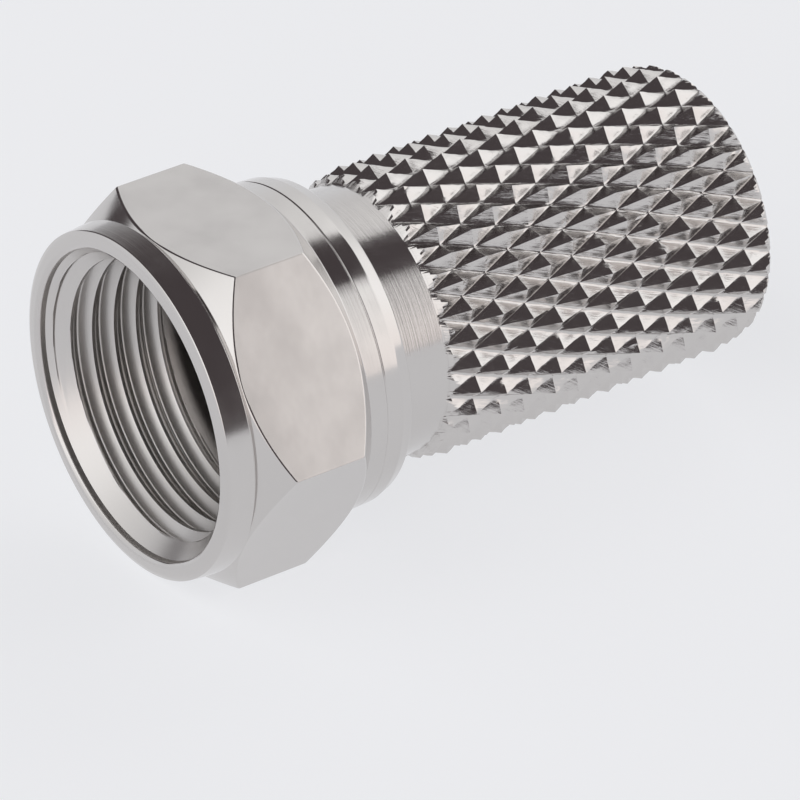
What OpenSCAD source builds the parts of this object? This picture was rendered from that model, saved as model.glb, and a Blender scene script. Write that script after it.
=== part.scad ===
// Twist-on F connector: a hexagonal coupling nut that spins freely on the
// front of a one-piece knurled body, which screws onto the jacket of a cable.
// The axis is X, with the cable leaving towards +X. The origin is on the axis
// at the mating plane, which is the front face of the body's flange.

/* [Coupling nut] */
// Distance across the flats of the hexagon
nut_af = 11; // [10.8:0.1:12]
// Depth from the rim of the mouth to the mating plane
mouth_depth = 4.9; // [4.5:0.1:8]
// Diameter of the round collar at the rim
rim_d = 11.04; // [10.8:0.02:11.3]
// Diameter of that collar at its rear edge
shoulder_d = 11.2; // [11:0.02:11.6]
// Length of the round collar in front of the hexagon
collar_length = 0.9; // [0.5:0.1:1.2]
// Diameter at the bottom of the groove between the collar and the hexagon
groove_d = 10.9; // [10.4:0.02:11]
// Width of the bottom of that groove
groove_width = 0.1; // [0.05:0.01:0.3]
// Angle between the axis and the cone that leads up to the front corners
front_cone_angle = 46; // [35:1:60]
// Length of the hexagon's full corners
corner_length = 2.44; // [2:0.02:2.8]
// Angle between the axis and the cone behind the rear corners
rear_cone_angle = 48; // [40:1:60]
// Wall of the round collar behind the hexagon, round the chamber
rear_wall = 0.46; // [0.3:0.02:0.8]
// Length of the tapered edge that is rolled in behind the flange
rolled_edge_length = 0.42; // [0.2:0.02:0.8]
// Radial drop of that edge
rolled_edge_drop = 0.18; // [0.1:0.02:0.3]
// Thickness of the rolled-in lip that holds the body
lip_thickness = 0.95; // [0.6:0.05:1.4]
// Rounding of the rim's outer and inner edges
rim_round = 0.12; // [0.05:0.01:0.18]

/* [Socket thread] */
// Diameter over the crests of the inside thread, 3/8-32 size
socket_thread_d = 8.76; // [8.6:0.02:8.9]
// Diameter of the plain counterbore inside the rim
counterbore_d = 9.86; // [9.5:0.02:10]
// Depth of that counterbore
counterbore_depth = 0.3; // [0.2:0.05:0.6]
// Radial depth of the chamber behind the thread, beyond the thread's crests
chamber_relief = 0.42; // [0.38:0.01:0.5]
// Length of the chamber in front of the mating plane
chamber_run_out = 0.5; // [0.2:0.1:0.8]

/* [Body] */
// Thickness of the flange inside the nut
flange_thickness = 0.9; // [0.6:0.1:1.2]
// Diameter of the neck that runs through the nut's lip
neck_d = 6.94; // [6.4:0.02:7.2]
// Diameter of the plain turned ring behind the nut
ring_d = 8.62; // [8.4:0.02:8.96]
// Length of the plain turned ring
ring_length = 1.72; // [1:0.02:2.5]
// Chamfer on the front edge of the ring
ring_chamfer = 0.12; // [0.05:0.01:0.3]

/* [Knurled sleeve] */
// Length of the knurled sleeve
sleeve_length = 12.2; // [8:0.01:14]
// Diameter over the points of the knurl
knurl_d = 9.4; // [9.3:0.02:9.8]
// Depth of the knurl's grooves
knurl_depth = 0.38; // [0.2:0.02:0.46]
// Number of grooves of each hand round the sleeve
groove_count = 32; // [24:2:40]
// Distance along the axis between crossings of the same two grooves
knurl_pitch = 2.044; // [1.6:0.001:2.6]
// Angle through which the pattern is turned from the top
knurl_turn_angle = 1.4; // [0:0.1:11.2]
// Length of the chamfer at the knurl's front end
knurl_lead = 0.4; // [0.2:0.05:0.8]
// Radial drop of the chamfer at the knurl's rear end
rear_chamfer = 0.32; // [0.1:0.02:0.4]

/* [Cable passage] */
// Diameter of the hole for the cable's dielectric
dielectric_bore_d = 4.9; // [4.4:0.1:5.2]
// Diameter over the crests of the coarse thread that grips the jacket
cable_bore_d = 6.6; // [6.2:0.1:6.8]
// Depth of the jacket bore from the rear end
cable_bore_depth = 12.13; // [7:0.01:12.6]
// Size of the lead-in chamfer at the rear end
cable_chamfer = 0.5; // [0.2:0.05:0.7]

/* [Fits] */
// Radial running clearance between the neck and the nut's lip
lip_clearance = 0.08; // [0.02:0.01:0.1]
// Play of the nut along the axis, between the flange and the lip
flange_play = 0.15; // [0.05:0.01:0.3]
// Gap between the nut's rear face and the ring
ring_gap = 0.1; // [0.05:0.01:0.3]
// Radial clearance with which the flange passes through the thread
flange_clearance = 0.06; // [0.03:0.01:0.15]

/* [Hidden] */
nickel = "#cbc8c7";
$fn = 96;

// Radii of the chamber and of the collar round it
chamber_r = socket_thread_d / 2 + chamber_relief;
rear_collar_r = chamber_r + rear_wall;

// Stations along the axis, from the mating plane
rim_x = -mouth_depth;
hex_front_x = rim_x + collar_length;
front_cone_x = hex_front_x + groove_width;
front_corner_x = front_cone_x + (corner_r() - groove_d / 2) / tan(front_cone_angle);
rear_corner_x = front_corner_x + corner_length;
rear_collar_x = rear_corner_x + (corner_r() - rear_collar_r) / tan(rear_cone_angle);
lip_front_x = flange_thickness + flange_play;
nut_rear_x = lip_front_x + lip_thickness;
ring_x = nut_rear_x + ring_gap;
sleeve_x = ring_x + ring_length;
body_rear_x = sleeve_x + sleeve_length;

// Sizes that follow from a fit
lip_bore_d = neck_d + 2 * lip_clearance;
flange_d = socket_thread_d - 2 * flange_clearance;
lead_in = (counterbore_d - socket_thread_d) / 2;
eps = 0.5;

// The knurl: rows half a pitch apart, columns half a groove apart, on a
// blank that stands just clear of the points
row_step = knurl_pitch / 2;
knurl_columns = 2 * groove_count;
knurl_rows = ceil(sleeve_length / row_step) + 3;
blank_d = knurl_d + knurl_depth / 4;

// Radius to the hexagon's corners
function corner_r() = nut_af / 2 / cos(30);

// Points of a circular arc from one angle to another
function arc(x, r, radius, from, to, steps = 6) =
    [for (k = [0:steps]) let (a = from + (to - from) * k / steps)
        [x + radius * cos(a), r + radius * sin(a)]];

// A profile drawn as (station, radius), turned about the X axis
module turned(profile) {
    rotate([0, 90, 0])
        rotate_extrude()
            polygon([for (p = profile) [p[1], p[0]]]);
}

// A plain hole along the axis
module hole(x0, x1, d) {
    translate([x0, 0, 0])
        rotate([0, 90, 0])
            cylinder(h = x1 - x0, d = d);
}

// The hexagon lies on one of its flats
module hexagon_bar() {
    translate([rim_x - eps, 0, 0])
        rotate([0, 90, 0])
            rotate(30)
                cylinder(h = nut_rear_x - rim_x + 2 * eps, r = corner_r(), $fn = 6);
}

// Cones that take the corners off the hexagon at both ends, and the groove
// in front of them
module nut_cones() {
    turned([
        [hex_front_x, 0],
        [hex_front_x, groove_d / 2],
        [front_cone_x, groove_d / 2],
        [front_corner_x, corner_r()],
        [rear_corner_x, corner_r()],
        [rear_collar_x, rear_collar_r],
        [rear_collar_x, 0]
    ]);
}

// Round collars: the rim in front, and the one with the rolled edge behind
module nut_collars() {
    turned(concat(
        [[rim_x, 0]],
        arc(rim_x + rim_round, rim_d / 2 - rim_round, rim_round, 180, 90),
        [[hex_front_x, shoulder_d / 2], [hex_front_x, 0]]
    ));
    turned([
        [rear_corner_x, 0],
        [rear_corner_x, rear_collar_r],
        [nut_rear_x - rolled_edge_length, rear_collar_r],
        [nut_rear_x, rear_collar_r - rolled_edge_drop],
        [nut_rear_x, 0]
    ]);
}

// Mouth: rounded inner edge, counterbore and lead-in down to the thread
module nut_mouth() {
    mouth_r = counterbore_d / 2;
    turned(concat(
        [[rim_x - eps, 0], [rim_x - eps, mouth_r + rim_round]],
        arc(rim_x + rim_round, mouth_r + rim_round, rim_round, 180, 270),
        [
            [rim_x + counterbore_depth, mouth_r],
            [rim_x + counterbore_depth + lead_in, socket_thread_d / 2],
            [rim_x + counterbore_depth + lead_in, 0]
        ]
    ));
}

module coupling_nut() {
    color(nickel)
    difference() {
        union() {
            intersection() {
                hexagon_bar();
                nut_cones();
            }
            nut_collars();
        }
        nut_mouth();
        hole(rim_x, 0, socket_thread_d);
        hole(-chamber_run_out, lip_front_x, 2 * chamber_r);
        hole(0, nut_rear_x + eps, lip_bore_d);
    }
}

// Radius of the knurl at one place of its lattice: a point where row and
// column add up to an even number, and a crossing of two grooves elsewhere
function knurl_r(row, column) =
    (row + column) % 2 == 0 ? knurl_d / 2 : knurl_d / 2 - knurl_depth;

// Bar with crossed grooves: each cell of the lattice is folded along the
// groove that crosses it, so that the points are four-sided pyramids
module knurled_bar() {
    points = [
        for (row = [0:knurl_rows])
            for (column = [0:knurl_columns - 1])
                let (
                    a = knurl_turn_angle + column * 360 / knurl_columns,
                    r = knurl_r(row, column)
                )
                [sleeve_x + (row - 2) * row_step, -r * sin(a), r * cos(a)]
    ];
    function at(row, column) = row * knurl_columns + column % knurl_columns;
    cells = [
        for (row = [0:knurl_rows - 1])
            for (column = [0:knurl_columns - 1])
                let (
                    a = at(row, column),
                    b = at(row + 1, column),
                    c = at(row + 1, column + 1),
                    d = at(row, column + 1)
                )
                each (row + column) % 2 == 0 ? [[a, b, d], [b, c, d]] : [[a, b, c], [a, c, d]]
    ];
    ends = [
        [for (column = [0:knurl_columns - 1]) at(0, column)],
        [for (column = [knurl_columns - 1:-1:0]) at(knurl_rows, column)]
    ];
    polyhedron(points = points, faces = concat(cells, ends));
}

// The sleeve's blank, with its chamfered ends
module sleeve_blank() {
    turned([
        [sleeve_x - eps, 0],
        [sleeve_x - eps, ring_d / 2 - knurl_depth],
        [sleeve_x, ring_d / 2],
        [sleeve_x + knurl_lead, blank_d / 2],
        [body_rear_x - rear_chamfer - (blank_d - knurl_d) / 2, blank_d / 2],
        [body_rear_x, knurl_d / 2 - rear_chamfer],
        [body_rear_x, 0]
    ]);
}

// Flange, neck and plain ring, turned in one piece with the sleeve
module body_front() {
    turned([
        [0, 0],
        [0, flange_d / 2],
        [flange_thickness, flange_d / 2],
        [flange_thickness, neck_d / 2],
        [ring_x, neck_d / 2],
        [ring_x, ring_d / 2 - ring_chamfer],
        [ring_x + ring_chamfer, ring_d / 2],
        [sleeve_x, ring_d / 2],
        [sleeve_x, 0]
    ]);
}

// Jacket bore with a drill cone at its bottom and a lead-in at its mouth
module cable_bore() {
    bore_x = body_rear_x - cable_bore_depth;
    cone = (cable_bore_d - dielectric_bore_d) / 2;
    turned([
        [bore_x - cone, 0],
        [bore_x - cone, dielectric_bore_d / 2],
        [bore_x, cable_bore_d / 2],
        [bore_x, 0]
    ]);
    hole(bore_x, body_rear_x + eps, cable_bore_d);
    turned([
        [body_rear_x - cable_chamfer, 0],
        [body_rear_x - cable_chamfer, cable_bore_d / 2],
        [body_rear_x + eps, cable_bore_d / 2 + cable_chamfer + eps],
        [body_rear_x + eps, 0]
    ]);
}

module knurled_body() {
    color(nickel)
    difference() {
        union() {
            body_front();
            intersection() {
                knurled_bar();
                sleeve_blank();
            }
        }
        hole(-eps, body_rear_x, dielectric_bore_d);
        cable_bore();
    }
}

coupling_nut();
knurled_body();
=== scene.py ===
import math

import bmesh
import bpy
import numpy as np
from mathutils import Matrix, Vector


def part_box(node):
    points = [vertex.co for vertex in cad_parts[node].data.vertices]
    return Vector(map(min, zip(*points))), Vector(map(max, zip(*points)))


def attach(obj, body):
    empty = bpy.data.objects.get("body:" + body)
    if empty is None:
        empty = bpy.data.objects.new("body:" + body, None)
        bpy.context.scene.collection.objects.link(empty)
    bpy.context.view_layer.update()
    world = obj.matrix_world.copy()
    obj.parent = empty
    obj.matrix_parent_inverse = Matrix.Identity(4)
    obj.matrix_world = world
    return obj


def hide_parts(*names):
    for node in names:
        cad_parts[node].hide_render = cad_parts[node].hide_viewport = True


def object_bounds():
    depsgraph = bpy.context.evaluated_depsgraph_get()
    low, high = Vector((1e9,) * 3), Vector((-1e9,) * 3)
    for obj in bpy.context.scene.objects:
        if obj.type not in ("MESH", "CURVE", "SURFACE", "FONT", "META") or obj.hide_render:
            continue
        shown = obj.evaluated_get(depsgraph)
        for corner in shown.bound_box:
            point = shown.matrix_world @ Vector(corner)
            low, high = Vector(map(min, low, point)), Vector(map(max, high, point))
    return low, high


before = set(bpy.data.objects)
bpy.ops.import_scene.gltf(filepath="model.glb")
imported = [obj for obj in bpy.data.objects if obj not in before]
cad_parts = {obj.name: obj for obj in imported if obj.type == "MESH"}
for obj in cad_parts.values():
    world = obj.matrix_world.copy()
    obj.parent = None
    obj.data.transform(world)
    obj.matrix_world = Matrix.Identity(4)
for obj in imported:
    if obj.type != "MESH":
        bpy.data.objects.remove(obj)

cadLow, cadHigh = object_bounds()
nutLow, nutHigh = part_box("coupling_nut")
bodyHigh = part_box("knurled_body")[1]
mm = 0.001
tau = 2 * math.pi


# sRGB hex text to a linear colour: each channel to the power 2.4, straight near black
def hexColor(code):
    channels = [int(code[i:i + 2], 16) / 255 for i in (1, 3, 5)]
    linear = [c / 12.92 if c <= 0.04045 else ((c + 0.055) / 1.055) ** 2.4 for c in channels]
    return (*linear, 1.0)


# adds one node; an input is given a plain value or another node's output
def addNode(tree, kind, settings=None, inputs=None):
    node = tree.nodes.new(kind)
    for name, value in (settings or {}).items():
        setattr(node, name, value)
    for name, value in (inputs or {}).items():
        if isinstance(value, bpy.types.NodeSocket):
            tree.links.new(value, node.inputs[name])
        else:
            node.inputs[name].default_value = value
    return node


# outline through corners (K x T x 2, station and radius for T angles), each corner turned by the
# blend (1-t)^2 A + 2t(1-t) P + t^2 C of the corner P and the points A and C on its two sides;
# one more point on each side keeps the straight stretches straight, and the two ends stay exact
def roundedProfile(corners, radii, steps=5):
    largestShare = 0.42  # of a side, that the turn at one of its ends may take up
    leadStretch = 1.12  # how far out the extra points lie, against the turn's own ends
    before = np.roll(corners, 1, axis=0) - corners
    after = np.roll(corners, -1, axis=0) - corners
    lengthBefore = np.linalg.norm(before, axis=2, keepdims=True) + 1e-9
    lengthAfter = np.linalg.norm(after, axis=2, keepdims=True) + 1e-9
    reach = np.minimum(radii[:, None, None], largestShare * np.minimum(lengthBefore, lengthAfter))
    start = corners + before / lengthBefore * reach
    end = corners + after / lengthAfter * reach
    t = np.linspace(0, 1, steps)[:, None, None, None]
    turns = (1 - t) ** 2 * start + 2 * t * (1 - t) * corners + t ** 2 * end
    leadIn = corners + before / lengthBefore * reach * leadStretch
    leadOut = corners + after / lengthAfter * reach * leadStretch
    turns = np.concatenate([leadIn[None], turns, leadOut[None]])
    rows = turns[:, 1:-1].transpose(1, 0, 2, 3).reshape(-1, corners.shape[1], 2)
    return np.concatenate([corners[:1], rows, corners[-1:]])


# outline given as (station, radius, rounding) rows, spread over all the angles and rounded
def outlineRows(outline, count):
    corners = np.stack([
        np.stack([np.broadcast_to(x, count), np.broadcast_to(r, count)], axis=-1)
        for x, r, _ in outline
    ])
    return roundedProfile(corners, np.array([rounding for _, _, rounding in outline]))


# turns (station, radius) about the X axis: angle 0 is up and grows towards -Y
def ringPoints(profile, angles):
    return np.stack([
        profile[..., 0],
        -profile[..., 1] * np.sin(angles),
        profile[..., 1] * np.cos(angles),
    ], axis=-1)


# quads of a grid that closes round its columns
def gridFaces(rows, columns):
    i = np.arange(rows - 1)[:, None]
    j = np.arange(columns)[None, :]
    right = (j + 1) % columns
    return np.stack([
        i * columns + j, (i + 1) * columns + j, (i + 1) * columns + right, i * columns + right,
    ], axis=-1).reshape(-1, 4)


# cuts quads into triangles: along their first diagonal where rising is true, else along the other
def splitCells(faces, rising):
    first = np.where(rising[:, None], faces[:, [0, 1, 2]], faces[:, [0, 1, 3]])
    second = np.where(rising[:, None], faces[:, [0, 2, 3]], faces[:, [1, 2, 3]])
    return np.concatenate([first, second])


# right-hand inside thread: row i at angle a lies at start - pitch + (i / perTurn + a / turn) pitch,
# cut off at start and end, and its radius depends only on where i is within its turn: the crest is
# flat, the flanks are straight and the root is narrow; after one turn row i meets row i + perTurn
def threadRows(angles, start, end, pitch, perTurn, crest, root, crestShare):
    rootShare = 0.12
    rowCount = int(math.ceil(((end - start) / pitch + 2) * perTurn))
    row = np.arange(rowCount)[:, None]
    station = np.clip(start - pitch + (row / perTurn + angles / tau) * pitch, start, end)
    fromRoot = np.abs(row / perTurn % 1 - 0.5) * 2
    rise = np.clip((fromRoot - rootShare) / (1 - crestShare - rootShare), 0, 1)
    radius = root - (root - crest) * rise + 0 * angles
    count = len(angles)
    i = np.arange(rowCount - 1)[:, None]
    j = np.arange(count)[None, :]
    across = i + np.where(j == count - 1, perTurn, 0)
    right = (j + 1) % count
    faces = np.stack([
        i * count + j, (i + 1) * count + j, (across + 1) * count + right, across * count + right,
    ], axis=-1)[across + 1 < rowCount]
    span = station.ravel()[faces]
    outside = (span <= start + 1e-9).all(1) | (span >= end - 1e-9).all(1)
    return station, radius, faces[~outside]


# a mesh piece from points in millimetres; points closer than weld millimetres become one
def makePiece(name, points, faces, sharpAngle, weld=0.0005):
    mesh = bpy.data.meshes.new(name)
    mesh.from_pydata((points * mm).tolist(), [], faces)
    work = bmesh.new()
    work.from_mesh(mesh)
    bmesh.ops.remove_doubles(work, verts=work.verts, dist=weld * mm)
    bmesh.ops.dissolve_degenerate(work, edges=work.edges, dist=weld * mm)
    bmesh.ops.recalc_face_normals(work, faces=work.faces)
    volume = work.calc_volume(signed=True)
    if volume < 0:
        bmesh.ops.reverse_faces(work, faces=work.faces)
    openEdges = sum(1 for edge in work.edges if len(edge.link_faces) != 2)
    work.to_mesh(mesh)
    work.free()
    mesh.shade_smooth()
    mesh.set_sharp_from_angle(angle=math.radians(sharpAngle))
    piece = bpy.data.objects.new(name, mesh)
    bpy.context.scene.collection.objects.link(piece)
    triangles = sum(len(polygon.vertices) - 2 for polygon in mesh.polygons)
    size = round(abs(volume) / mm ** 3, 1)
    print(name, "triangles", triangles, "open edges", openEdges, "cubic mm", size)
    return piece


nut = {
    "acrossFlats": 11.0,
    "rimDiameter": 11.04,
    "rimInnerDiameter": 10.14,
    "shoulderDiameter": 11.2,
    "collarLength": 0.9,
    "grooveDiameter": 10.9,
    "grooveWidth": 0.1,
    "frontConeAngle": 46,
    "cornerLength": 2.44,
    "rearConeAngle": 48,
    "rearCollarDiameter": 10.52,
    "collarLineAt": 0.6,
    "collarLineDepth": 0.03,
    "rolledEdgeLength": 0.42,
    "rolledEdgeDrop": 0.18,
    "counterboreDiameter": 9.86,
    "counterboreDepth": 0.3,
    "threadCrestDiameter": 8.76,
    "threadRootDiameter": 9.53,
    "threadPitch": 25.4 / 32,
    "threadRowsPerTurn": 28,
    "threadCrestShare": 0.14,
    "threadEnd": -0.5,
    "chamberDiameter": 9.6,
    "chamberEnd": 1.05,
    "lipBoreDiameter": 7.1,
    "edgeRounding": 0.05,
    "cornerRounding": 0.04,
}


# angles round the nut: an even ring of them plus close ones at the hexagon's corners
def nutAngles():
    even = np.radians(np.arange(0, 360, 1.25))
    spread = np.radians([-1.4, -1.0, -0.75, -0.5, -0.25, 0, 0.25, 0.5, 0.75, 1.0, 1.4])
    corners = np.radians(30 + 60 * np.arange(6))
    near = (corners[:, None] + spread).ravel()
    far = np.abs((even[:, None] - corners + math.pi) % tau - math.pi).min(1) > np.radians(1.6)
    return np.sort(np.concatenate([even[far], near]))


# distance from the axis to a hexagon with a flat on top: across / 2 over the cosine of the angle
# from the nearest flat, and near a corner the far side of a circle of the rounding's radius
def hexagonRadius(angles, across, rounding):
    fromFlat = np.abs((angles + tau / 12) % (tau / 6) - tau / 12)
    flat = across / 2 / np.cos(fromFlat)
    fromCorner = tau / 12 - fromFlat
    centre = (across / 2 - rounding) / math.cos(tau / 12)
    inside = np.maximum(rounding ** 2 - (centre * np.sin(fromCorner)) ** 2, 0)
    rounded = centre * np.cos(fromCorner) + np.sqrt(inside)
    turned = centre * np.sin(fromCorner) < rounding * math.sin(tau / 12)
    return np.where(turned, np.minimum(rounded, flat), flat)


# the nut's profile at each angle round it: the hexagon's radius meets the front and rear cones where
# their straight lines reach that radius, and the inside thread joins the mouth to the chamber
def makeNut():
    angles = nutAngles()
    count = len(angles)
    rim, rear = nutLow.x / mm, nutHigh.x / mm
    hexRadius = hexagonRadius(angles, nut["acrossFlats"], nut["cornerRounding"])
    cornerRadius = nut["acrossFlats"] / 2 / math.cos(tau / 12)
    groove = nut["grooveDiameter"] / 2
    rearCollar = nut["rearCollarDiameter"] / 2
    frontSlope = math.tan(math.radians(nut["frontConeAngle"]))
    rearSlope = math.tan(math.radians(nut["rearConeAngle"]))
    hexFront = rim + nut["collarLength"]
    coneFront = hexFront + nut["grooveWidth"]
    rearCorner = coneFront + (cornerRadius - groove) / frontSlope + nut["cornerLength"]
    rearStart = rearCorner + (cornerRadius - rearCollar) / rearSlope
    frontHex = coneFront + (hexRadius - groove) / frontSlope
    rearHex = rearStart - (hexRadius - rearCollar) / rearSlope
    crest = nut["threadCrestDiameter"] / 2
    counterbore = nut["counterboreDiameter"] / 2
    chamber = nut["chamberDiameter"] / 2
    lipBore = nut["lipBoreDiameter"] / 2
    boreEnd = rim + nut["counterboreDepth"]
    rollStart = rear - nut["rolledEdgeLength"]
    line, lineDepth = rearStart + nut["collarLineAt"], nut["collarLineDepth"]

    shell = outlineRows([
        (boreEnd, counterbore, 0),
        (rim + 0.1, counterbore, 0.05),
        (rim, nut["rimInnerDiameter"] / 2, 0.06),
        (rim + 0.03, nut["rimDiameter"] / 2 - 0.14, 0.1),
        (rim + 0.1, nut["rimDiameter"] / 2, 0.03),
        (hexFront, nut["shoulderDiameter"] / 2, 0.02),
        (hexFront + 0.02, groove, 0.01),
        (coneFront, groove, 0.01),
        (frontHex, hexRadius, nut["edgeRounding"]),
        (rearHex, hexRadius, nut["edgeRounding"]),
        (rearStart, rearCollar + 0.01, 0.03),
        (line, rearCollar, 0.01),
        (line + 0.03, rearCollar - lineDepth, 0.01),
        (line + 0.07, rearCollar - 0.01, 0.01),
        (rollStart, rearCollar - 0.03, 0.03),
        (rear - 0.05, rearCollar - 0.85 * nut["rolledEdgeDrop"], 0.04),
        (rear, rearCollar - nut["rolledEdgeDrop"], 0.02),
        (rear, lipBore, 0.05),
        (nut["chamberEnd"], lipBore, 0.05),
        (nut["chamberEnd"], chamber, 0.05),
        (nut["threadEnd"], chamber, 0),
    ], count)
    station, radius, threadFaces = threadRows(
        angles, boreEnd, nut["threadEnd"], nut["threadPitch"], nut["threadRowsPerTurn"],
        crest, nut["threadRootDiameter"] / 2, nut["threadCrestShare"])
    leadIn = counterbore - (station - boreEnd)
    radius = np.maximum(radius, leadIn)
    radius = np.where(station <= boreEnd, counterbore, radius)
    radius = np.where(station >= nut["threadEnd"], chamber, radius)
    thread = np.stack([station, radius], axis=-1)

    points = np.concatenate([
        ringPoints(shell, angles).reshape(-1, 3),
        ringPoints(thread, angles).reshape(-1, 3),
    ])
    faces = np.concatenate([gridFaces(len(shell), count), threadFaces + len(shell) * count])
    return makePiece("nut_shell", points, faces.tolist(), 30)


body = {
    "flangeDiameter": 8.64,
    "flangeThickness": 0.9,
    "neckDiameter": 6.94,
    "ringStart": 2.1,
    "ringDiameter": 8.62,
    "ringLength": 1.72,
    "ringChamfer": 0.12,
    "knurlDiameter": 9.4,
    "knurlDepth": 0.38,
    "grooveCount": 32,
    "knurlPitch": 2.044,
    "knurlTurn": 1.4,
    "knurlLead": 0.4,
    "grooveRounding": 0.12,
    "raggedness": 0.018,
    "rearChamfer": 0.32,
    "dielectricBore": 4.9,
    "cableBore": 6.6,
    "cableBoreDepth": 12.13,
    "cableChamfer": 0.5,
    "jacketThreadDiameter": 7.16,
    "jacketThreadPitch": 1.2,
    "jacketThreadRowsPerTurn": 12,
    "jacketThreadCrestShare": 0.2,
    "cellSteps": 6,
}
knurlStart = body["ringStart"] + body["ringLength"]
rowStep = body["knurlPitch"] / 2
columnAngle = tau / 2 / body["grooveCount"]


# height of the diamond pattern, 0 in the grooves and 1 on the points. along and around count half
# pitches; grooves run where their difference or their sum is odd, and the height is the smaller of
# the distances to the two; the first kind has a rounded bottom: hypot(distance, rounding) - rounding
def knurlHeight(along, around):
    rounding = body["grooveRounding"]
    first = np.abs((along - around) % 2 - 1)
    second = np.abs((along + around) % 2 - 1)
    rounded = (np.hypot(first, rounding) - rounding) / (math.hypot(1, rounding) - rounding)
    return np.minimum(rounded, second)


# the sleeve's radius is the knurl's height on its blank, cut by the chamfers of the two ends, and
# each grid cell is cut along the groove that may cross it, so that grooves follow the mesh
def makeBody():
    steps = body["cellSteps"]
    columns = 2 * body["grooveCount"] * steps
    turn = math.radians(body["knurlTurn"])
    angles = turn + np.arange(columns) / steps * columnAngle
    rear = bodyHigh.x / mm
    stations = np.append(np.arange(knurlStart, rear - 1e-6, rowStep / steps), rear)
    along = (stations[:, None] - knurlStart) / rowStep
    around = (angles[None, :] - turn) / columnAngle
    rng = np.random.default_rng(7)
    height = knurlHeight(along, around)
    inside = (height > 0.05) & (height < 0.95)
    rough = rng.normal(0, body["raggedness"], height.shape) * inside * body["knurlDepth"]
    top = body["knurlDiameter"] / 2
    ringRadius = body["ringDiameter"] / 2
    radius = top - body["knurlDepth"] * (1 - height) + rough
    lead = ringRadius + (top - ringRadius) * (stations - knurlStart) / body["knurlLead"]
    tail = top - body["rearChamfer"] + (rear - stations)
    radius = np.minimum(radius, np.minimum(lead, tail)[:, None])
    knurl = np.stack([np.broadcast_to(stations[:, None], radius.shape), radius], axis=-1)

    boreStart = rear - body["cableBoreDepth"]
    boreEnd = rear - body["cableChamfer"]
    small, large = body["dielectricBore"] / 2, body["cableBore"] / 2
    flange, neck = body["flangeDiameter"] / 2, body["neckDiameter"] / 2
    front = outlineRows([
        (knurlStart - 0.03, ringRadius, 0),
        (body["ringStart"] + body["ringChamfer"], ringRadius, 0.05),
        (body["ringStart"], ringRadius - body["ringChamfer"], 0.05),
        (body["ringStart"], neck, 0.05),
        (body["flangeThickness"], neck, 0.05),
        (body["flangeThickness"], flange, 0.05),
        (0, flange, 0.05),
        (0, small, 0.03),
        (boreStart - (large - small), small, 0.05),
        (boreStart, large, 0),
    ], columns)
    mouth = outlineRows([
        (boreEnd, large, 0),
        (rear, large + body["cableChamfer"], 0.05),
        (rear, top - body["rearChamfer"] - 0.1, 0),
    ], columns)
    station, gripRadius, gripFaces = threadRows(
        angles - turn, boreStart, boreEnd, body["jacketThreadPitch"], body["jacketThreadRowsPerTurn"],
        large, body["jacketThreadDiameter"] / 2, body["jacketThreadCrestShare"])
    gripRadius = np.where((station <= boreStart) | (station >= boreEnd), large, gripRadius)
    grip = np.stack([station, gripRadius], axis=-1)

    outside = np.concatenate([knurl[::-1], front])
    rearEnd = np.concatenate([mouth, knurl[-1:]])
    grids = (outside, rearEnd, grip)
    points = np.concatenate([ringPoints(rows, angles).reshape(-1, 3) for rows in grids])
    outsideFaces = gridFaces(len(outside), columns)
    rearFaces = gridFaces(len(rearEnd), columns) + len(outside) * columns
    gripFaces = gripFaces + (len(outside) + len(rearEnd)) * columns
    cellCount = (len(stations) - 1) * columns
    row, column = np.divmod(np.arange(cellCount), columns)
    fromFront = len(stations) - 2 - row
    rising = (fromFront // steps + column // steps) % 2 == 0
    cells = splitCells(outsideFaces[:cellCount], rising)
    rest = np.concatenate([outsideFaces[cellCount:], rearFaces, gripFaces])
    return makePiece("knurled_sleeve", points, cells.tolist() + rest.tolist(), 20)


# lengths in millimetres; waves are the noise's turns per metre along a tool's line, so few that
# each line runs far; real turning lines are finer, and these are as coarse as they need to show
finish = {
    "nickel": "#ccc9c7",
    "turningSpacing": 0.05,
    "drawingSpacing": 0.12,
    "turningWaves": 60,
    "drawingWaves": 40,
    "plainRingWaves": 150,
    "turningDepth": 0.0011,
    "drawingDepth": 0.0006,
    "plainRingDepth": 0.00275,
    "blotchSize": 1.6,
    "blotchDepth": 0.003,
    "noiseRange": (0.3, 0.7),
    "flatTolerance": 0.03,
    "edgeMargin": 0.05,
    "knurlStreakDepth": 0.012,
    "grooveFillet": 0.16,
    "filletDepths": (0.02, 0.011),
    "outsideRoughness": (0.07, 0.2),
    "knurlRoughness": (0.12, 0.2),
    "insideRoughness": 0.3,
    "insideBelow": 4.95,
}


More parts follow.
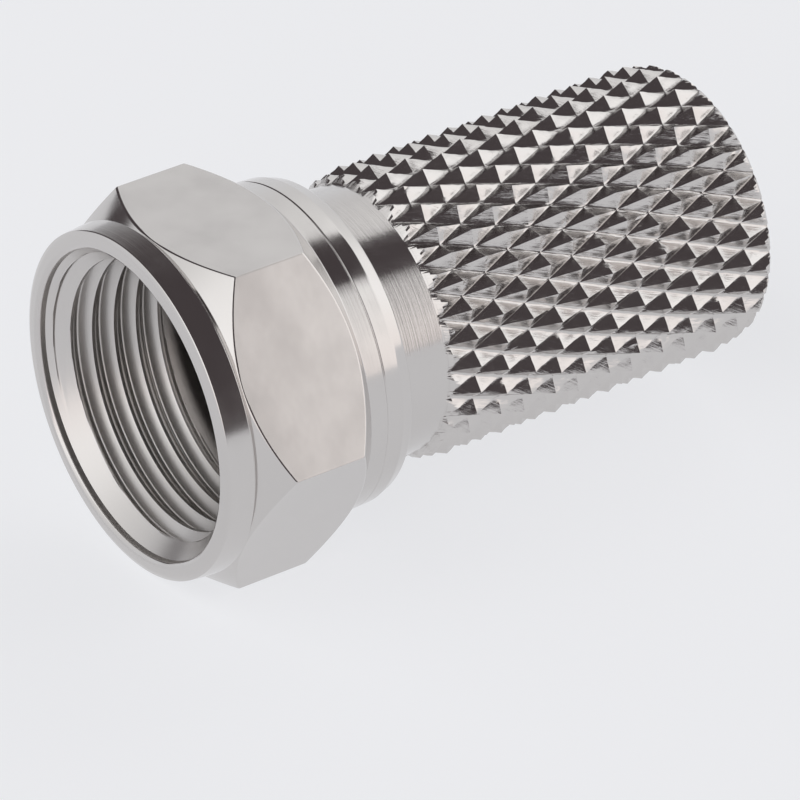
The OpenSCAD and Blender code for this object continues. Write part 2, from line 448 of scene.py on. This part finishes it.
# bright nickel plate over turned brass: a mirror that follows the tool's fine rings, drawn lines
# along the hexagon's flats and soft blotches from polishing, duller inside where plate is thin
def makeTurnedNickel():
    material = bpy.data.materials.new("bright nickel plate on turned brass")
    material.use_nodes = True
    tree = material.node_tree
    tree.nodes.clear()
    place = addNode(tree, "ShaderNodeTexCoord")
    parts = addNode(tree, "ShaderNodeSeparateXYZ", None, {0: place.outputs["Object"]})
    facing = addNode(tree, "ShaderNodeSeparateXYZ", None, {0: place.outputs["Normal"]})
    acrossAxis = addNode(tree, "ShaderNodeCombineXYZ", None, {1: parts.outputs["Y"], 2: parts.outputs["Z"]})
    radius = addNode(tree, "ShaderNodeVectorMath", {"operation": "LENGTH"}, {0: acrossAxis.outputs[0]})
    # rings: fine along the axis, long round it; drawn lines the other way round
    ringScale = (1 / (finish["turningSpacing"] * mm), finish["turningWaves"], finish["turningWaves"])
    drawnFine = 1 / (finish["drawingSpacing"] * mm)
    drawnScale = (finish["drawingWaves"], drawnFine, drawnFine)
    ringVector = addNode(tree, "ShaderNodeVectorMath", {"operation": "MULTIPLY"}, {
        0: place.outputs["Object"], 1: ringScale})
    rings = addNode(tree, "ShaderNodeTexNoise", None, {
        "Vector": ringVector.outputs[0], "Scale": 1.0, "Detail": 4.0, "Roughness": 0.65})
    drawnVector = addNode(tree, "ShaderNodeVectorMath", {"operation": "MULTIPLY"}, {
        0: place.outputs["Object"], 1: drawnScale})
    drawn = addNode(tree, "ShaderNodeTexNoise", None, {
        "Vector": drawnVector.outputs[0], "Scale": 1.0, "Detail": 3.0, "Roughness": 0.6})
    blotches = addNode(tree, "ShaderNodeTexNoise", None, {
        "Vector": place.outputs["Object"],
        "Scale": 1 / (finish["blotchSize"] * mm),
        "Detail": 3.0,
    })
    # the flats: outside the collars and square to the axis
    square = addNode(tree, "ShaderNodeMath", {"operation": "COMPARE"}, {
        0: facing.outputs["X"], 1: 0.0, 2: finish["flatTolerance"]})
    behindCollar = addNode(tree, "ShaderNodeMath", {"operation": "GREATER_THAN"}, {
        0: parts.outputs["X"], 1: nutLow.x + (nut["collarLength"] + nut["grooveWidth"]) * mm})
    overCollar = addNode(tree, "ShaderNodeMath", {"operation": "GREATER_THAN"}, {
        0: radius.outputs["Value"], 1: (nut["acrossFlats"] / 2 - finish["edgeMargin"]) * mm})
    squareBehind = addNode(tree, "ShaderNodeMath", {"operation": "MULTIPLY"}, {
        0: square.outputs[0], 1: behindCollar.outputs[0]})
    flat = addNode(tree, "ShaderNodeMath", {"operation": "MULTIPLY"}, {
        0: squareBehind.outputs[0], 1: overCollar.outputs[0]})
    ringHeight = addNode(tree, "ShaderNodeMath", {"operation": "MULTIPLY"}, {
        0: rings.outputs[0], 1: finish["turningDepth"]})
    drawnHeight = addNode(tree, "ShaderNodeMath", {"operation": "MULTIPLY"}, {
        0: drawn.outputs[0], 1: finish["drawingDepth"]})
    fine = addNode(tree, "ShaderNodeMix", {"data_type": "FLOAT"}, {
        0: flat.outputs[0], 2: ringHeight.outputs[0], 3: drawnHeight.outputs[0]})
    height = addNode(tree, "ShaderNodeMath", {"operation": "MULTIPLY_ADD"}, {
        0: blotches.outputs[0], 1: finish["blotchDepth"], 2: fine.outputs[0]})
    bump = addNode(tree, "ShaderNodeBump", None, {
        "Height": height.outputs[0], "Distance": mm, "Strength": 1.0})
    noiseLow, noiseHigh = finish["noiseRange"]
    low, high = finish["outsideRoughness"]
    outside = addNode(tree, "ShaderNodeMapRange", None, {
        "Value": blotches.outputs[0],
        "From Min": noiseLow, "From Max": noiseHigh,
        "To Min": low, "To Max": high,
    })
    isInside = addNode(tree, "ShaderNodeMath", {"operation": "LESS_THAN"}, {
        0: radius.outputs["Value"], 1: finish["insideBelow"] * mm})
    roughness = addNode(tree, "ShaderNodeMix", {"data_type": "FLOAT"}, {
        0: isInside.outputs[0], 2: outside.outputs[0], 3: finish["insideRoughness"]})
    shader = addNode(tree, "ShaderNodeBsdfPrincipled", None, {
        "Base Color": hexColor(finish["nickel"]), "Metallic": 1.0,
        "Roughness": roughness.outputs[0], "Normal": bump.outputs[0]})
    addNode(tree, "ShaderNodeOutputMaterial", None, {"Surface": shader.outputs["BSDF"]})
    return material


# bright nickel plate over a rolled knurl: smeared streaks along the grooves of the first hand, a
# small fillet at the bottom of each groove, and turned rings on the plain ring and inside
def makeKnurledNickel():
    material = bpy.data.materials.new("bright nickel plate on knurled brass")
    material.use_nodes = True
    tree = material.node_tree
    tree.nodes.clear()
    place = addNode(tree, "ShaderNodeTexCoord")
    parts = addNode(tree, "ShaderNodeSeparateXYZ", None, {0: place.outputs["Object"]})
    acrossAxis = addNode(tree, "ShaderNodeCombineXYZ", None, {1: parts.outputs["Y"], 2: parts.outputs["Z"]})
    radius = addNode(tree, "ShaderNodeVectorMath", {"operation": "LENGTH"}, {0: acrossAxis.outputs[0]})
    # along and around count half pitches, as in the mesh
    along = addNode(tree, "ShaderNodeMapRange", {"clamp": False}, {
        "Value": parts.outputs["X"], "From Min": knurlStart * mm, "From Max": (knurlStart + rowStep) * mm})
    towardsNear = addNode(tree, "ShaderNodeMath", {"operation": "MULTIPLY"}, {
        0: parts.outputs["Y"], 1: -1.0})
    angle = addNode(tree, "ShaderNodeMath", {"operation": "ARCTAN2"}, {
        0: towardsNear.outputs[0], 1: parts.outputs["Z"]})
    turn = math.radians(body["knurlTurn"])
    around = addNode(tree, "ShaderNodeMapRange", {"clamp": False}, {
        "Value": angle.outputs[0], "From Min": turn, "From Max": turn + columnAngle})
    difference = addNode(tree, "ShaderNodeMath", {"operation": "SUBTRACT"}, {
        0: along.outputs[0], 1: around.outputs[0]})
    total = addNode(tree, "ShaderNodeMath", {"operation": "ADD"}, {
        0: along.outputs[0], 1: around.outputs[0]})
    fillets = []
    for coordinate, depth in zip((difference, total), finish["filletDepths"]):
        shifted = addNode(tree, "ShaderNodeMath", {"operation": "ADD"}, {
            0: coordinate.outputs[0], 1: 1.0})
        distance = addNode(tree, "ShaderNodeMath", {"operation": "PINGPONG"}, {
            0: shifted.outputs[0], 1: 1.0})
        near = addNode(tree, "ShaderNodeMapRange", None, {
            "Value": distance.outputs[0], "From Min": 0.0, "From Max": finish["grooveFillet"],
            "To Min": 1.0, "To Max": 0.0})
        squared = addNode(tree, "ShaderNodeMath", {"operation": "POWER"}, {0: near.outputs[0], 1: 2.0})
        fillets.append(addNode(tree, "ShaderNodeMath", {"operation": "MULTIPLY"}, {
            0: squared.outputs[0], 1: depth}))
    streakVector = addNode(tree, "ShaderNodeCombineXYZ", None, {
        0: difference.outputs[0], 1: total.outputs[0]})
    streakStretch = addNode(tree, "ShaderNodeVectorMath", {"operation": "MULTIPLY"}, {
        0: streakVector.outputs[0], 1: (7.0, 0.8, 1.0)})
    streaks = addNode(tree, "ShaderNodeTexNoise", None, {
        "Vector": streakStretch.outputs[0], "Scale": 1.0, "Detail": 5.0, "Roughness": 0.6})
    streakHeight = addNode(tree, "ShaderNodeMath", {"operation": "MULTIPLY"}, {
        0: streaks.outputs[0], 1: finish["knurlStreakDepth"]})
    bothFillets = addNode(tree, "ShaderNodeMath", {"operation": "ADD"}, {
        0: fillets[0].outputs[0], 1: fillets[1].outputs[0]})
    knurlHigh = addNode(tree, "ShaderNodeMath", {"operation": "ADD"}, {
        0: bothFillets.outputs[0], 1: streakHeight.outputs[0]})
    ringScale = (1 / (finish["turningSpacing"] * mm), finish["plainRingWaves"], finish["plainRingWaves"])
    ringVector = addNode(tree, "ShaderNodeVectorMath", {"operation": "MULTIPLY"}, {
        0: place.outputs["Object"], 1: ringScale})
    rings = addNode(tree, "ShaderNodeTexNoise", None, {
        "Vector": ringVector.outputs[0], "Scale": 1.0, "Detail": 4.0, "Roughness": 0.7})
    ringHeight = addNode(tree, "ShaderNodeMath", {"operation": "MULTIPLY"}, {
        0: rings.outputs[0], 1: finish["plainRingDepth"]})
    # the knurl lies behind the plain ring and outside the cable passage
    behindRing = addNode(tree, "ShaderNodeMath", {"operation": "GREATER_THAN"}, {
        0: parts.outputs["X"], 1: (knurlStart + finish["edgeMargin"]) * mm})
    underGrooves = body["knurlDiameter"] / 2 - body["knurlDepth"] - 2 * finish["edgeMargin"]
    outsideBore = addNode(tree, "ShaderNodeMath", {"operation": "GREATER_THAN"}, {
        0: radius.outputs["Value"], 1: underGrooves * mm})
    knurled = addNode(tree, "ShaderNodeMath", {"operation": "MULTIPLY"}, {
        0: behindRing.outputs[0], 1: outsideBore.outputs[0]})
    height = addNode(tree, "ShaderNodeMix", {"data_type": "FLOAT"}, {
        0: knurled.outputs[0], 2: ringHeight.outputs[0], 3: knurlHigh.outputs[0]})
    bump = addNode(tree, "ShaderNodeBump", None, {
        "Height": height.outputs[0], "Distance": mm, "Strength": 1.0})
    noiseLow, noiseHigh = finish["noiseRange"]
    low, high = finish["knurlRoughness"]
    roughness = addNode(tree, "ShaderNodeMapRange", None, {
        "Value": streaks.outputs[0],
        "From Min": noiseLow, "From Max": noiseHigh,
        "To Min": low, "To Max": high,
    })
    shader = addNode(tree, "ShaderNodeBsdfPrincipled", None, {
        "Base Color": hexColor(finish["nickel"]), "Metallic": 1.0,
        "Roughness": roughness.outputs[0], "Normal": bump.outputs[0]})
    addNode(tree, "ShaderNodeOutputMaterial", None, {"Surface": shader.outputs["BSDF"]})
    return material


studio = {
    "azimuth": -34.986,
    "elevation": 32.404,
    "distance": 216.02,
    "lookAt": (4.316, -1.139, -2.490),
    "lens": 317.57,
    "floorSize": 3.0,
    "floorColor": "#f7f8fb",
    "floorGlow": 0.72,
    "darkColor": (0.085, 0.072, 0.076, 1),
    "leftEdge": (-0.30, -0.42),
    "edgeSoftness": 0.07,
    # how far along X the gap between the two soft boxes reaches, by the angle over the top, 0
    # straight up and growing towards the near side
    "rightEdge": [(-180, 0.38), (-60, 0.40), (-25, 0.42), (-12, 0.46), (-7, 0.78), (20, 0.78),
                  (26, 0.54), (34, 0.49), (46, 0.475), (60, 0.46), (75, 0.44), (90, 0.46), (180, 0.40)],
    # brightness of the boxes by the same angle
    "boxes": [(-180, "#f8fbff", 1.0), (-95, "#f4f6fa", 0.95), (-60, "#f7f7f8", 0.95), (-30, "#fafafa", 1.1),
              (-10, "#ffffff", 1.3), (30, "#ffffff", 1.42), (75, "#fffaf8", 1.35), (100, "#fff8f6", 1.3),
              (180, "#f8fbff", 1.0)],
    "boxScale": 2.0,
}


# the camera looks along the direction that azimuth and elevation give, from its distance away
def makeCamera():
    camera = bpy.data.objects.new("camera", bpy.data.cameras.new("camera"))
    bpy.context.scene.collection.objects.link(camera)
    a, e = math.radians(studio["azimuth"]), math.radians(studio["elevation"])
    back = Vector((math.sin(a) * math.cos(e), -math.cos(a) * math.cos(e), math.sin(e)))
    camera.location = (Vector(studio["lookAt"]) + back * studio["distance"]) * mm
    camera.rotation_euler = (-back).to_track_quat("-Z", "Y").to_euler()
    camera.data.lens = studio["lens"]
    camera.data.sensor_width = 36
    camera.data.clip_start = 0.01
    camera.data.clip_end = 10
    bpy.context.scene.camera = camera


# a lit white table, which glows so that the part leaves hardly any shadow on it
def makeFloor():
    size, low = studio["floorSize"], cadLow.z
    mesh = bpy.data.meshes.new("floor")
    corners = [(-size, -size, low), (size, -size, low), (size, size, low), (-size, size, low)]
    mesh.from_pydata(corners, [], [(0, 1, 2, 3)])
    floor = bpy.data.objects.new("floor", mesh)
    bpy.context.scene.collection.objects.link(floor)
    material = bpy.data.materials.new("lit white table")
    material.use_nodes = True
    tree = material.node_tree
    tree.nodes.clear()
    color = hexColor(studio["floorColor"])
    dimmed = [c * (1 - studio["floorGlow"]) for c in color[:3]]
    shader = addNode(tree, "ShaderNodeBsdfPrincipled", None, {
        "Base Color": (*dimmed, 1), "Roughness": 0.8, "Specular IOR Level": 0.0,
        "Emission Color": color, "Emission Strength": studio["floorGlow"]})
    addNode(tree, "ShaderNodeOutputMaterial", None, {"Surface": shader.outputs["BSDF"]})
    mesh.materials.append(material)


# two large soft boxes, left and right of a dark gap that runs over the top: the angle over the top
# is atan2(-y, z), and a direction is lit where its x is beyond the gap's edge at that angle
def makeLight():
    world = bpy.data.worlds.new("studio")
    bpy.context.scene.world = world
    world.use_nodes = True
    tree = world.node_tree
    tree.nodes.clear()
    direction = addNode(tree, "ShaderNodeTexCoord")
    parts = addNode(tree, "ShaderNodeSeparateXYZ", None, {0: direction.outputs["Generated"]})
    near = addNode(tree, "ShaderNodeMath", {"operation": "MULTIPLY"}, {0: parts.outputs["Y"], 1: -1.0})
    turn = addNode(tree, "ShaderNodeMath", {"operation": "ARCTAN2"}, {
        0: near.outputs[0], 1: parts.outputs["Z"]})
    overTop = addNode(tree, "ShaderNodeMapRange", None, {
        "Value": turn.outputs[0], "From Min": -math.pi, "From Max": math.pi})
    edge = addNode(tree, "ShaderNodeValToRGB", None, {"Fac": overTop.outputs[0]})
    boxes = addNode(tree, "ShaderNodeValToRGB", None, {"Fac": overTop.outputs[0]})
    edgeStops = [(angle, (value, value, value, 1)) for angle, value in studio["rightEdge"]]
    boxStops = [
        (angle, (*[c * value / studio["boxScale"] for c in hexColor(code)[:3]], 1))
        for angle, code, value in studio["boxes"]
    ]
    for ramp, stops in ((edge.color_ramp, edgeStops), (boxes.color_ramp, boxStops)):
        ramp.elements[0].position, ramp.elements[0].color = 0.0, stops[0][1]
        ramp.elements[1].position, ramp.elements[1].color = 1.0, stops[-1][1]
        for angle, color in stops[1:-1]:
            ramp.elements.new((angle + 180) / 360).color = color
    beyond = addNode(tree, "ShaderNodeMath", {"operation": "SUBTRACT"}, {
        0: parts.outputs["X"], 1: edge.outputs[0]})
    soft = studio["edgeSoftness"]
    right = addNode(tree, "ShaderNodeMapRange", {"interpolation_type": "SMOOTHSTEP"}, {
        "Value": beyond.outputs[0], "From Min": -soft, "From Max": soft})
    left = addNode(tree, "ShaderNodeMapRange", {"interpolation_type": "SMOOTHSTEP"}, {
        "Value": parts.outputs["X"], "From Min": studio["leftEdge"][0], "From Max": studio["leftEdge"][1]})
    lit = addNode(tree, "ShaderNodeMath", {"operation": "MAXIMUM"}, {0: right.outputs[0], 1: left.outputs[0]})
    dark = tuple(c / studio["boxScale"] for c in studio["darkColor"][:3]) + (1,)
    color = addNode(tree, "ShaderNodeMix", {"data_type": "RGBA"}, {
        0: lit.outputs[0], 6: dark, 7: boxes.outputs[0]})
    background = addNode(tree, "ShaderNodeBackground", None, {
        "Color": color.outputs[2], "Strength": studio["boxScale"]})
    addNode(tree, "ShaderNodeOutputWorld", None, {"Surface": background.outputs[0]})


bpy.context.scene.view_settings.view_transform = "Standard"
makeCamera()
makeFloor()
makeLight()
print("stage, camera and light made")

nutPiece = makeNut()
nutPiece.data.materials.append(makeTurnedNickel())
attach(nutPiece, "nut")
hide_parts("coupling_nut")
print("coupling nut made")

bodyPiece = makeBody()
bodyPiece.data.materials.append(makeKnurledNickel())
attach(bodyPiece, "body")
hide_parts("knurled_body")
print("knurled body made")
